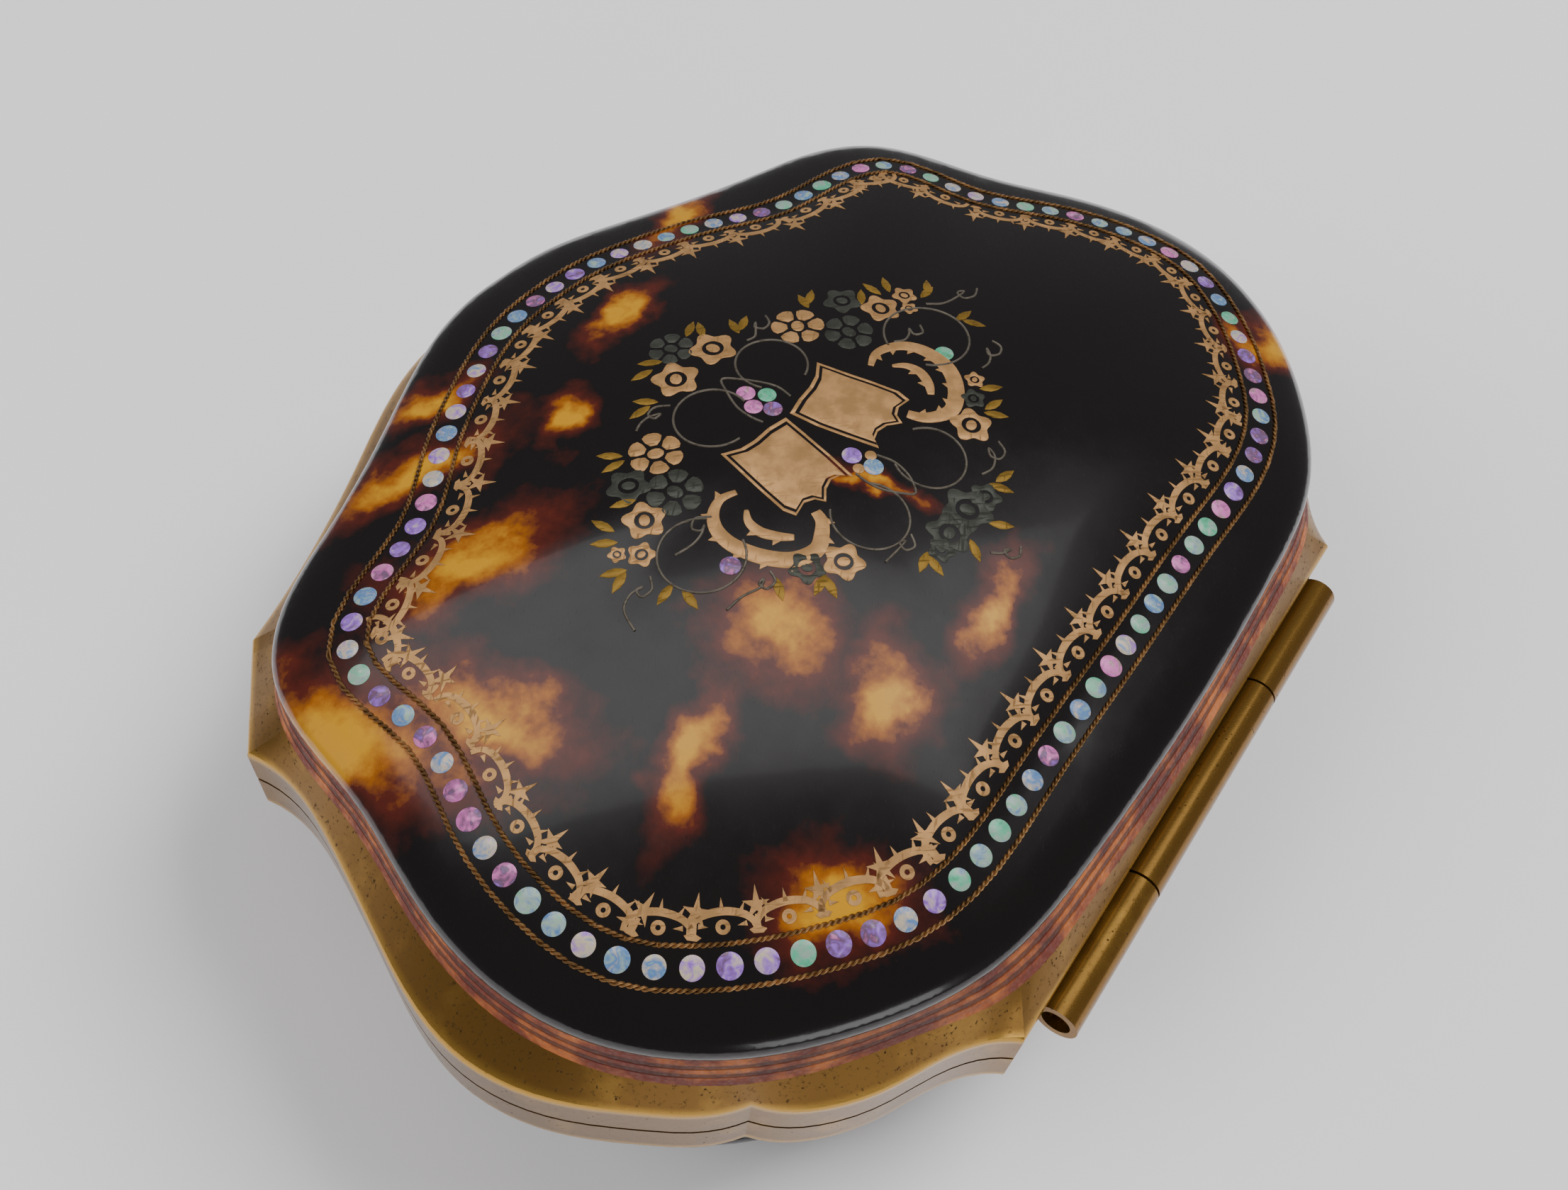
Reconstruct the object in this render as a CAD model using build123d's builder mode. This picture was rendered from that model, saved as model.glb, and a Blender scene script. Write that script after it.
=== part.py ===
"""Hinged trinket box: two domed tortoiseshell covers in brass rims, with pearl and gold inlay.

Origin: centre of the bounding box at the resting face.  +Z up, hinge along X at +Y, catch at -Y.
"""
import os
from math import cos, radians, sin

from build123d import *

os.makedirs("parts", exist_ok=True)

# ---- Driving dimensions (mm) ----
PARTING = 14.8          # height of the plane where the lid meets the base
SEAM = 0.15             # each rim stops this far short of that plane
BAND_TOP = 3.3          # top of the upright band, above the parting plane
SHOULDER_R = 0.5        # rounding between the band and the flange
FLANGE_TOP = 5.4        # inner edge of the flange, where the welt starts
SHELL_FOOT = 8.15       # underside of the shell's rolled edge
TRAY_TOP = 7.6          # outside of each lining, above the parting plane
LINING = 0.8            # thickness of the linings
SHELL_WALL = 1.2        # thickness of the tortoiseshell
GLUE = 0.1              # room left for glue between glued pieces
CROWN = 14.8            # rise of the lid's dome above the parting plane
REST_CUT = 0.25         # the base's dome is deeper by this and is worn flat
TALL = 20               # taller than anything that is cut or filled

# Half outlines seen from above, from the front centre round +X to the hinge centre.
SHELL_EDGE = [
    (0, -31.3), (6.5, -30.5), (12.6, -28.2), (18.6, -25.6), (25.6, -23.1), (30.8, -21.1),
    (34.8, -17.8), (36.9, -13.0), (38.1, -7.6), (40.7, 0), (41.9, 6.6), (41.0, 13.3),
    (39.1, 17.4), (36.3, 21.1), (32.0, 24.9), (27.8, 27.6), (23.7, 29.4), (13.7, 30.8), (0, 31.2),
]
PEARL_LINE = [
    (0, -25.9), (5.4, -25.3), (10.5, -23.5), (15.4, -21.2), (21.0, -18.0), (27.0, -16.5),
    (31.4, -14.2), (32.6, -10.6), (33.0, -6.3), (35.7, 0), (37.4, 6.0), (36.9, 12.6),
    (35.1, 15.6), (32.3, 18.7), (28.8, 21.6), (25.2, 23.9), (21.2, 25.1), (12.5, 25.3), (0, 25.3),
]
CORNER_POINTS = [0, 5, 6, 13, 16, 18]   # points of the shell edge beside the rim's own corners
HINGE_POINTS = 3                        # the last points, where the welt runs along the hinge

# Places between the shell edge (0) and the pearl line (1).
WELT_FOOT = -0.10
HINGE_WELT_FOOT = -0.22
WELT_HEAD = 0.06
RIM_HOLE = 0.20
LINING_OUT = 0.22
SHELL_HOLLOW = 0.25
BOARD_EDGE = 0.28
LINING_IN = 0.37

# Brass rim
FRONT = (0, -34.6)
TIP_FRONT = (32.0, -24.4)
TIP_BACK = (38.4, -18.0)
CUSP = (37.0, 21.9)
HINGE_CORNER = (24.1, 33.0)

# Outside of the dome: place as above, and rise above the parting plane.
ROLLED_EDGE = [(0.06, SHELL_FOOT), (0.0, 8.75), (0.04, 9.2), (0.14, 9.6), (0.42, 10.14), (0.7, 10.5),
               (1.0, 10.85)]
DOME_STEPS = [0.93, 0.8, 0.65, 0.5, 0.35, 0.2, 0.08]   # the pearl line drawn smaller towards the crown

# Hinge
AXIS_Y = 34.0
AXIS_Z = PARTING + 1.2
KNUCKLE_R = 1.5
SWEEP_R = 1.65          # room cut for a turning knuckle
PIN_R = 0.5
RUNNING_R = 0.55        # bore of the knuckles that turn on the pin
CENTRE_END = 9.4        # half length of the base's knuckle
OUTER_START = 9.6       # the lid's two knuckles
OUTER_END = 21.0
MOUTH_R = 1.0           # open end of each rolled knuckle
MOUTH_DEPTH = 0.8

# Catch
HOOK = (4.0, 0.9)       # width and thickness of the hook under the lid
HOOK_Y = -32.45         # middle of the hook
HOOK_BOTTOM = -2.5      # below the parting plane
HOOK_TOP = 1.7
NOSE = (0.25, 0.6)      # reach and height of the hook's nose
PUSH_TRAVEL = 0.8
PUSH_HEAD = (5.1, 1.4)  # width and height of the push piece's head
PUSH_FRONT = -35.5
PUSH_NECK = -34.0       # inner end of the head
PUSH_END = -31.1        # inner end of the slide
PUSH_Z = PARTING - 1.65 # middle of the push piece
SLIDE = (5.8, 0.6)      # width and thickness of the slide
WINDOW = (4.6, 2.15)    # opening in the slide that the hook passes through
WINDOW_Y = -32.775
PLAY = 0.15             # play round the push piece

# Inlay
INLAY_PROUD = 0.05
INLAY_DEEP = 0.3
PEARLS = 98
PEARL_R = 0.72
ROPE_OUTER = (0.745, 0.815)   # places of the two edges of each rope wire
ROPE_INNER = (1.185, 1.255)
ROPE_OUTER_RISE = (10.58, 10.64)   # heights of the same edges above the parting plane
ROPE_INNER_RISE = (11.18, 11.26)
LACE = (0.925, 0.85)          # both edges as the pearl line drawn smaller
SPRAY_X = 0.6           # the spray of flowers is centred here
WIRE = 0.22


def write(name, part):
    """Label a piece and write it."""
    part.label = name
    export_step(part, f"parts/{name}.step")


# ---- Outlines ----
def mirrored(half):
    """Close a half outline by reflecting it in the plane x = 0."""
    return half + [(-x, y) for x, y in reversed(half[1:-1])]


def blend(places):
    """Outline that runs between the shell edge and the pearl line, one place for each point."""
    pairs = zip(SHELL_EDGE, PEARL_LINE, places)
    return mirrored([(a + s * (c - a), b + s * (d - b)) for (a, b), (c, d), s in pairs])


def even(place):
    """Outline at the same place all the way round."""
    return blend([place] * len(SHELL_EDGE))


def welt_foot():
    """The welt stands further out along the hinge."""
    front_points = len(SHELL_EDGE) - HINGE_POINTS
    return blend([WELT_FOOT] * front_points + [HINGE_WELT_FOOT] * HINGE_POINTS)


def shrunk(scale):
    """The pearl line drawn smaller about the centre of the dome."""
    return mirrored([(x * scale, y * scale) for x, y in PEARL_LINE])


def smooth_face(points, rise):
    """A closed smooth outline filled in, at a rise above the parting plane."""
    plane = Plane.XY.offset(PARTING + rise)
    with BuildSketch(plane, mode=Mode.PRIVATE) as sketch:
        with BuildLine(plane):
            Spline(*points, periodic=True)
        make_face()
    return sketch.sketch.face()


def rim_edges():
    """Right half of the rim's outline, front centre to hinge centre, one edge for each side."""
    with BuildLine(mode=Mode.PRIVATE) as right:
        Spline(FRONT, (8.3, -33.6), (16.5, -30.1), (25.5, -26.4), TIP_FRONT)
        Line(TIP_FRONT, TIP_BACK)
        Spline(TIP_BACK, (38.2, -14.6), (39.7, -9.3), (42.4, -2.8), (45.0, 6.2),
               (44.0, 11.8), (41.2, 17.1), (39.2, 20.0), CUSP)
        Spline(CUSP, (36.2, 23.6), (34.2, 25.9), (31.2, 28.0), (28.3, 29.4), (25.8, 31.0), HINGE_CORNER)
        Line(HINGE_CORNER, (0, HINGE_CORNER[1]))
    return right.edges()


def welt_edges():
    """Right half of the welt's foot, cut beside the rim's corners so that the two pair off."""
    points = welt_foot()
    with BuildLine(mode=Mode.PRIVATE):
        foot = Spline(*points, periodic=True)
    marks = [0] + [foot.param_at_point(Vector(*points[i])) for i in CORNER_POINTS[1:]]
    return [foot.edge().trim(start, end) for start, end in zip(marks, marks[1:])]


def two_sided_face(right_edges, rise):
    """Fill in a right half outline and its reflection."""
    right = [edge.moved(Location((0, 0, PARTING + rise))) for edge in right_edges]
    left = [edge.mirror(Plane.YZ) for edge in right]
    return Face(Wire(right + left))


def dome_rise(step, crown):
    """Rise of the dome where the pearl line is drawn smaller."""
    return crown - (crown - ROLLED_EDGE[-1][1]) * step * step


def dome(crown):
    """Solid dome over the shell's outline, with a rolled edge."""
    sections = [smooth_face(even(place), rise) for place, rise in ROLLED_EDGE]
    for step in DOME_STEPS:
        sections.append(smooth_face(shrunk(step), dome_rise(step, crown)))
    with BuildPart(mode=Mode.PRIVATE) as solid:
        loft(sections)
    return solid.part


def dropped(solid, amount):
    """The same solid lower down."""
    return solid.moved(Location((0, 0, -amount)))


lid_dome = dome(CROWN)
base_dome = dome(CROWN + REST_CUT)     # drawn upright and turned over with the rest of the base
TURN_OVER = Plane.XY.offset(PARTING)


# ---- Pieces that the lid and the base share, drawn the lid's way up ----
def shell(solid):
    """Tortoiseshell cover of even wall."""
    with BuildPart(mode=Mode.PRIVATE) as hollow:
        add(dropped(solid, SHELL_WALL))
        extrude(smooth_face(even(SHELL_HOLLOW), 0), amount=TALL, mode=Mode.INTERSECT)
    with BuildPart(mode=Mode.PRIVATE) as cover:
        add(solid)
        add(hollow.part, mode=Mode.SUBTRACT)
    return cover.part


def board(solid):
    """Former that fills the cover and carries the lining."""
    with BuildPart(mode=Mode.PRIVATE) as former:
        add(dropped(solid, SHELL_WALL + GLUE))
        extrude(smooth_face(even(BOARD_EDGE), SHELL_FOOT), amount=TALL, mode=Mode.INTERSECT)
        extrude(smooth_face(even(BOARD_EDGE), TRAY_TOP + GLUE), amount=SHELL_FOOT - TRAY_TOP)
    return former.part


def welt():
    """Leather strip between the rim and the cover."""
    with BuildPart(mode=Mode.PRIVATE) as strip:
        loft([smooth_face(welt_foot(), FLANGE_TOP), smooth_face(even(WELT_HEAD), SHELL_FOOT)], ruled=True)
        extrude(smooth_face(even(RIM_HOLE), 0), amount=TALL, mode=Mode.SUBTRACT)
    return strip.part


def lining():
    """Tray of thin leather."""
    with BuildPart(mode=Mode.PRIVATE) as tray:
        extrude(smooth_face(even(LINING_OUT), SEAM), amount=TRAY_TOP - SEAM)
        extrude(smooth_face(even(LINING_IN), 0), amount=TRAY_TOP - LINING, mode=Mode.SUBTRACT)
    return tray.part


def rim():
    """Brass ring: an upright band, a rounded shoulder and a flange that slopes in to the welt."""
    with BuildPart(mode=Mode.PRIVATE) as ring:
        extrude(two_sided_face(rim_edges(), SEAM), amount=BAND_TOP - SEAM)
        top = ring.faces().sort_by(Axis.Z)[-1]
        loft([top, two_sided_face(welt_edges(), FLANGE_TOP)], ruled=True)
        extrude(smooth_face(even(RIM_HOLE), 0), amount=TALL, mode=Mode.SUBTRACT)
        shoulder = ring.edges().filter_by_position(Axis.Z, PARTING + BAND_TOP, PARTING + BAND_TOP)
        fillet(shoulder, SHOULDER_R)
    return ring.part


def rod(start, end, radius, mode=Mode.ADD):
    """Cylinder on the hinge axis from one x to another."""
    plane = Plane(origin=(start, AXIS_Y, AXIS_Z), x_dir=(0, 1, 0), z_dir=(1, 0, 0))
    with BuildSketch(plane, mode=Mode.PRIVATE) as section:
        Circle(radius)
    extrude(section.sketch, amount=end - start, mode=mode)


def box(centre, size, mode=Mode.ADD):
    """Square block given by its centre and size."""
    with Locations(centre):
        Box(*size, mode=mode)


# ---- Brass rims with the hinge's knuckles and the catch's slots ----
HOOK_MIDDLE = PARTING + (HOOK_TOP + HOOK_BOTTOM) / 2

with BuildPart() as lid_rim:
    add(rim())
    rod(-OUTER_START, OUTER_START, SWEEP_R, Mode.SUBTRACT)
    for start, end in ((-OUTER_END, -OUTER_START), (OUTER_START, OUTER_END)):
        rod(start, end, KNUCKLE_R)
    rod(-OUTER_END, OUTER_END, RUNNING_R, Mode.SUBTRACT)
    for start, end in ((-OUTER_END, MOUTH_DEPTH - OUTER_END), (OUTER_END - MOUTH_DEPTH, OUTER_END)):
        rod(start, end, MOUTH_R, Mode.SUBTRACT)
    box((0, HOOK_Y, HOOK_MIDDLE), (*HOOK, HOOK_TOP - HOOK_BOTTOM), Mode.SUBTRACT)
write("lid_rim", lid_rim.part)

LEAF_START = HINGE_CORNER[1] - 0.6     # the centre knuckle's leaf starts inside the base rim
PUSH_POCKET_END = -29.6                # open to the hole in the rim
HOOK_POCKET = (4.6, 1.9, 2.9)

with BuildPart() as base_rim:
    add(rim().mirror(TURN_OVER))
    for start, end in ((-OUTER_END - PLAY, -CENTRE_END), (CENTRE_END, OUTER_END + PLAY)):
        rod(start, end, SWEEP_R, Mode.SUBTRACT)
    rod(-CENTRE_END, CENTRE_END, KNUCKLE_R)
    with BuildSketch(Plane(origin=(-CENTRE_END, 0, 0), x_dir=(0, 1, 0), z_dir=(1, 0, 0))):
        with BuildLine():
            Polyline((LEAF_START, 14.6), (LEAF_START, 12.4), (34.0, 12.9), (35.1, 14.1),
                     (AXIS_Y + KNUCKLE_R, AXIS_Z), (AXIS_Y, AXIS_Z), (LEAF_START, 14.6))
        make_face()
    extrude(amount=2 * CENTRE_END)
    rod(-CENTRE_END, CENTRE_END, PIN_R, Mode.SUBTRACT)
    head_length = PUSH_NECK + PUSH_TRAVEL + PLAY - PUSH_FRONT
    box((0, PUSH_FRONT + head_length / 2, PUSH_Z),
        (PUSH_HEAD[0] + 2 * PLAY, head_length, PUSH_HEAD[1] + 2 * PLAY), Mode.SUBTRACT)
    slide_length = PUSH_POCKET_END - PUSH_NECK
    box((0, PUSH_NECK + slide_length / 2, PUSH_Z),
        (SLIDE[0] + 2 * PLAY, slide_length, SLIDE[1] + 2 * PLAY), Mode.SUBTRACT)
    box((0, HOOK_Y + 0.1, PARTING - HOOK_POCKET[2] / 2), HOOK_POCKET, Mode.SUBTRACT)
write("base_rim", base_rim.part)

# ---- Hinge pin, pressed into the base's knuckle ----
PIN_END = OUTER_END - MOUTH_DEPTH
with BuildPart() as hinge_pin:
    rod(-PIN_END, PIN_END, PIN_R)
write("hinge_pin", hinge_pin.part)

# ---- Catch ----
with BuildPart() as catch_hook:
    box((0, HOOK_Y, HOOK_MIDDLE), (*HOOK, HOOK_TOP - HOOK_BOTTOM))
    nose_y = HOOK_Y + HOOK[1] / 2 + NOSE[0] / 2
    box((0, nose_y, PARTING + HOOK_BOTTOM + NOSE[1] / 2), (HOOK[0], NOSE[0], NOSE[1]))
    chamfer(catch_hook.edges().filter_by(Axis.X).sort_by(Axis.Z)[:2].sort_by(Axis.Y)[-1], 0.2)
write("catch_hook", catch_hook.part)

with BuildPart() as push_piece:
    head = PUSH_NECK - PUSH_FRONT
    box((0, PUSH_FRONT + head / 2, PUSH_Z), (PUSH_HEAD[0], head, PUSH_HEAD[1]))
    fillet(push_piece.edges().group_by(Axis.Y)[0], 0.3)
    slide = PUSH_END - PUSH_NECK
    box((0, PUSH_NECK + slide / 2, PUSH_Z), (SLIDE[0], slide, SLIDE[1]))
    box((0, WINDOW_Y, PUSH_Z), (*WINDOW, PUSH_HEAD[1]), Mode.SUBTRACT)
write("push_piece", push_piece.part)

SPRING_HALF = 2.6
SPRING_BACK = -30.3
SPRING_THICK = 0.12
with BuildPart() as catch_spring:
    with BuildSketch(Plane.XY.offset(PUSH_Z - SLIDE[1] / 2)):
        with BuildLine():
            front_y = PUSH_END + 0.05
            outer = ThreePointArc((-SPRING_HALF, SPRING_BACK), (0, front_y), (SPRING_HALF, SPRING_BACK))
            inner = ThreePointArc((-SPRING_HALF, SPRING_BACK + SPRING_THICK), (0, front_y + SPRING_THICK),
                                  (SPRING_HALF, SPRING_BACK + SPRING_THICK))
            Line(outer @ 0, inner @ 0)
            Line(outer @ 1, inner @ 1)
        make_face()
    extrude(amount=SLIDE[1])
write("catch_spring", catch_spring.part)

# ---- Covers, formers, welts and linings ----
SHARED = {"welt": welt(), "lining": lining()}
LID_ONLY = {"shell": shell(lid_dome), "board": board(lid_dome)}
BASE_ONLY = {"shell": shell(base_dome), "board": board(base_dome)}

for name, piece in {**SHARED, **LID_ONLY}.items():
    with BuildPart() as lid_piece:
        add(piece)
    write(f"lid_{name}", lid_piece.part)

for name, piece in {**SHARED, **BASE_ONLY}.items():
    with BuildPart() as base_piece:
        add(piece.mirror(TURN_OVER))
        box((0, 0, -TALL / 2), (2 * TALL, 2 * TALL, TALL), Mode.SUBTRACT)
    write(f"base_{name}", base_piece.part)

# ---- Inlay: everything is let into the top of the lid's dome ----
def seat(x, y, turn=0):
    """Place at the bottom of a shallow pocket cut square to the dome."""
    point, normal = lid_dome.find_intersection_points(Axis((x, y, 0), (0, 0, 1)))[-1]
    across = Vector(cos(turn), sin(turn), 0)
    level = across - normal * across.dot(normal)
    return Plane(origin=point - normal * INLAY_DEEP, x_dir=level, z_dir=normal).location


def disc(radius):
    """Disc that fills the pocket it stands in."""
    Cylinder(radius, INLAY_DEEP + INLAY_PROUD, align=(Align.CENTER, Align.CENTER, Align.MIN))


def along(points, count):
    """Evenly spaced places along a closed smooth line."""
    with BuildLine(mode=Mode.PRIVATE):
        line = Spline(*points, periodic=True)
    step = line.length / count
    return [line.position_at(i * step, PositionMode.LENGTH) for i in range(count)]


def band(outer, inner, outer_rise, inner_rise):
    """Thin ring between two outlines, sloping as the dome does."""
    with BuildPart(mode=Mode.PRIVATE) as ring:
        loft([smooth_face(outer, outer_rise), smooth_face(inner, inner_rise)], ruled=True)
        extrude(smooth_face(outer, outer_rise - INLAY_DEEP), amount=INLAY_DEEP)
        extrude(smooth_face(inner, 0), amount=TALL, mode=Mode.SUBTRACT)
    return ring.part


with BuildPart() as pearl_dots:
    with Locations(*[seat(place.X, place.Y) for place in along(mirrored(PEARL_LINE), PEARLS)]):
        disc(PEARL_R)
write("pearl_dots", pearl_dots.part)
write("rope_outer", band(*[even(place) for place in ROPE_OUTER], *ROPE_OUTER_RISE))
write("rope_inner", band(*[even(place) for place in ROPE_INNER], *ROPE_INNER_RISE))
lace_rises = [dome_rise(step, CROWN) + INLAY_PROUD for step in LACE]
write("lace_border", band(*[shrunk(step) for step in LACE], *lace_rises))

# ---- The spray: its right half is drawn from its centre line, and the left half mirrors it ----
SHIELD = [(0.2, -2.2), (1.7, 4.3), (4.6, 4.0), (6.9, 3.2), (7.1, 2.4), (5.6, -3.7)]
SHIELD_CENTRE = (4.0, 0.3)
SCROLL_CENTRE = (9.0, 2.6)
SCROLL_OUT = [(5.8, 4.3), (6.4, 5.7), (7.9, 6.2), (9.9, 5.5), (11.1, 3.2), (11.2, 1.0), (10.2, -0.8), (7.4, -0.9)]
SCROLL_IN = [(6.9, 4.3), (7.3, 5.2), (8.3, 5.3), (9.4, 4.4), (10.0, 2.6), (9.6, 0.9), (8.7, -0.1)]
GOLD_FLOWERS = [(8.0, -7.4, 1.95), (1.8, -10.6, 1.6), (13.0, -4.2, 1.5), (15.4, -3.0, 1.0), (7.8, 7.9, 1.5)]
GREY_FLOWERS = [(10.0, -4.1, 1.95), (11.5, -7.3, 1.3), (9.7, 6.4, 1.0), (1.3, 11.9, 1.2), (3.4, 12.3, 0.75)]
GOLD_PETALS = 5
GREY_PETALS = 6
LEAVES = [
    (1.0, 13.9, 55), (3.9, 12.6, 75), (4.3, 11.8, 15), (9.7, 8.3, 60), (10.3, 7.6, 10),
    (12.1, 6.0, 60), (16.1, 1.6, 75), (16.8, 0.2, 5), (17.6, -3.0, 10), (17.2, -3.7, -60),
    (15.9, -5.5, -55), (14.9, -6.4, 80), (12.7, -6.5, -35), (10.5, -9.2, -20), (9.9, -10.0, -60),
    (4.5, -11.1, -60), (5.5, -10.8, -15), (1.2, -13.3, -50), (2.5, -13.0, -20),
]
LEAF = (0.75, 0.3)      # half length and half width
TENDRILS = [(3.5, 7.1, 2.6), (3.2, -6.3, 2.6), (13.0, 0.2, 2.9)]
SPRAY_PEARLS = [(0.0, 5.0), (0.1, 3.3), (0.0, -3.4), (-0.8, -4.5), (0.7, -4.6), (0.0, -5.8), (-12.6, 2.9), (12.6, 2.2)]


def to_spray(x, y, side=1):
    """A place in the spray, on the right (1) or left (-1)."""
    return (SPRAY_X + side * x, y)


def spray_points(points, side):
    """An outline of the spray, on the right or left."""
    return [to_spray(x, y, side) for x, y in points]


def flat_inlay(name, centre, outline):
    """Small plate cut to an outline and set in the dome at its centre."""
    with BuildPart() as plate:
        with BuildSketch(Plane(seat(*centre))):
            with BuildLine():
                outline(centre)
            make_face()
        extrude(amount=INLAY_DEEP + INLAY_PROUD)
    write(name, plate.part)


def shield_outline(side):
    """Shield with a notched head."""
    def draw(centre):
        Polyline(*[(x - centre[0], y - centre[1]) for x, y in spray_points(SHIELD, side)], close=True)
    return draw


def scroll_outline(side):
    """C-shaped acanthus scroll."""
    def draw(centre):
        out = Spline(*[(x - centre[0], y - centre[1]) for x, y in spray_points(SCROLL_OUT, side)])
        back = Spline(*[(x - centre[0], y - centre[1]) for x, y in spray_points(SCROLL_IN, side)])
        Line(out @ 0, back @ 0)
        Line(out @ 1, back @ 1)
    return draw


def flowers(name, places, petals):
    """Round-petalled flowers on both sides of the spray."""
    with BuildPart() as group:
        for side in BOTH:
            for x, y, radius in places:
                with BuildSketch(Plane(seat(*to_spray(x, y, side)))):
                    Circle(radius * 0.55)
                    with PolarLocations(radius * 0.62, petals):
                        Circle(radius * 0.38)
        extrude(amount=INLAY_DEEP + INLAY_PROUD)
    write(name, group.part)


BOTH = (1, -1)
for side, word in ((1, "right"), (-1, "left")):
    flat_inlay(f"shield_{word}", to_spray(*SHIELD_CENTRE, side), shield_outline(side))
    flat_inlay(f"scroll_{word}", to_spray(*SCROLL_CENTRE, side), scroll_outline(side))
flowers("gold_flowers", GOLD_FLOWERS, GOLD_PETALS)
flowers("grey_flowers", GREY_FLOWERS, GREY_PETALS)

with BuildPart() as gold_leaves:
    for side in BOTH:
        for x, y, angle in LEAVES:
            with BuildSketch(Plane(seat(*to_spray(x, y, side), side * radians(angle)))):
                Ellipse(*LEAF)
    extrude(amount=INLAY_DEEP + INLAY_PROUD)
write("gold_leaves", gold_leaves.part)

with BuildPart() as silver_tendrils:
    for side in BOTH:
        for x, y, radius in TENDRILS:
            with BuildSketch(Plane(seat(*to_spray(x, y, side)))):
                Circle(radius + WIRE / 2)
                Circle(radius - WIRE / 2, mode=Mode.SUBTRACT)
    extrude(amount=INLAY_DEEP + INLAY_PROUD)
write("silver_tendrils", silver_tendrils.part)

with BuildPart() as spray_pearls:
    with Locations(*[seat(*to_spray(x, y)) for x, y in SPRAY_PEARLS]):
        disc(PEARL_R)
write("spray_pearls", spray_pearls.part)
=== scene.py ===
"""Looks of a hinged tortoiseshell box: covers, brass rims, leather, and the inlay of its lid."""

import math
import random

import bpy
from mathutils import Matrix, Vector


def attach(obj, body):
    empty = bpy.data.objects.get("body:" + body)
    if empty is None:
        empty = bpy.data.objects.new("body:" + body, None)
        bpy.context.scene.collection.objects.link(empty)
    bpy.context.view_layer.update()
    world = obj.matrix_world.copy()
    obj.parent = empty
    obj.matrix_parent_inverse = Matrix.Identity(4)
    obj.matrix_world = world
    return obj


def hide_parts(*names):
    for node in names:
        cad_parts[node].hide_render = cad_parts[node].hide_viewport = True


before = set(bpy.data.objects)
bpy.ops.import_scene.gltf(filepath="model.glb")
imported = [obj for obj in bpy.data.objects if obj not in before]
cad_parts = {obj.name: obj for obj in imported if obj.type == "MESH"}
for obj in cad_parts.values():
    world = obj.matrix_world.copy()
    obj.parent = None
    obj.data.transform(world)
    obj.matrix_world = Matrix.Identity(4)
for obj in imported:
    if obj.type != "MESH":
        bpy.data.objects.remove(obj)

bl_info = {
    "name": "Hinged tortoiseshell box",
    "version": (1, 0, 0),
    "blender": (4, 5, 0),
    "location": "View3D > Sidebar > Trinket box",
    "description": "Finishes the box and makes the inlay of its lid",
    "category": "Object",
}

MM = 0.001
ABOVE = 0.034           # flat inlay is drawn here, above the lid, and dropped on to the dome
RAY_START = 0.05        # rays that look for the dome's height start here
PARTING = 0.0148        # height where the lid meets the base
INLAY_WALL = 0.14       # thickness of the flat inlay, in mm
INLAY_EDGE = 0.035      # rounding of its edges, in mm
PEARL_SIDES = 26
PEARL_EDGE = 0.06       # rounding of a pearl disc, in mm
DOT_SIDES = 16
MIDDLE_SIDES = 14       # sides of a flower's middle
BUTTON_SIDES = 20
ROPE_STEPS = 1920       # points along each strand
ROPE_TWISTS = 240       # turns in the whole length
ROPE_LAY = 0.9          # strand from the rope's middle, in strand radii
LACE_MOTIFS = 50
LACE_STEPS = 8          # steps of the pearl line to each motif
LACE_ENDS = (28, 0.93)  # motifs further out than this, in mm, are this much smaller

# The inlay in plan, in mm.
SHIELDS = {
    "shield_right": [
        (0.8, -2.2), (1.2, -0.2), (1.7, 2.2), (2.2, 4.4), (2.7, 3.7), (3.4, 3.4), (4.3, 3.6), (5.2, 4.2),
        (5.5, 3.5), (6.2, 3.1), (7.4, 3.3), (7.6, 2.4), (7.2, 0.4), (6.7, -1.7), (6.2, -3.8), (5.0, -3.0),
        (3.8, -2.7), (2.3, -2.6),
    ],
    "shield_left": [
        (0.3, -2.2), (0.1, -0.1), (-0.4, 2.2), (-1.0, 4.4), (-1.5, 3.7), (-2.2, 3.5), (-3.1, 3.7),
        (-4.0, 4.4), (-4.4, 3.7), (-5.1, 3.4), (-6.2, 3.6), (-6.4, 2.6), (-6.0, 0.6), (-5.5, -1.5),
        (-5.1, -3.6), (-3.9, -2.9), (-2.7, -2.6), (-1.2, -2.5),
    ],
}
SCROLL_CURVES = {
    "scroll_right": [
        [(6.3, 4.1), (6.7, 4.9), (7.6, 5.5), (8.6, 5.9), (9.7, 5.6), (10.6, 4.9), (11.3, 3.7),
         (11.7, 2.4), (11.8, 1.0), (11.4, -0.3), (10.5, -1.2), (9.3, -1.5), (8.2, -1.0)],
        [(8.9, 4.2), (9.5, 3.3), (9.9, 2.2), (9.7, 1.1), (9.0, 0.4)],
    ],
    "scroll_left": [
        [(-5.0, 4.2), (-5.4, 5.2), (-6.3, 6.0), (-7.4, 6.4), (-8.7, 6.0), (-9.9, 5.2), (-10.8, 4.1),
         (-11.2, 2.9), (-11.2, 1.5), (-10.7, 0.3), (-9.7, -0.5), (-8.5, -0.8), (-7.3, -0.4)],
        [(-7.7, 4.5), (-8.5, 3.8), (-9.1, 2.7), (-9.0, 1.6), (-8.3, 0.8)],
    ],
}
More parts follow.
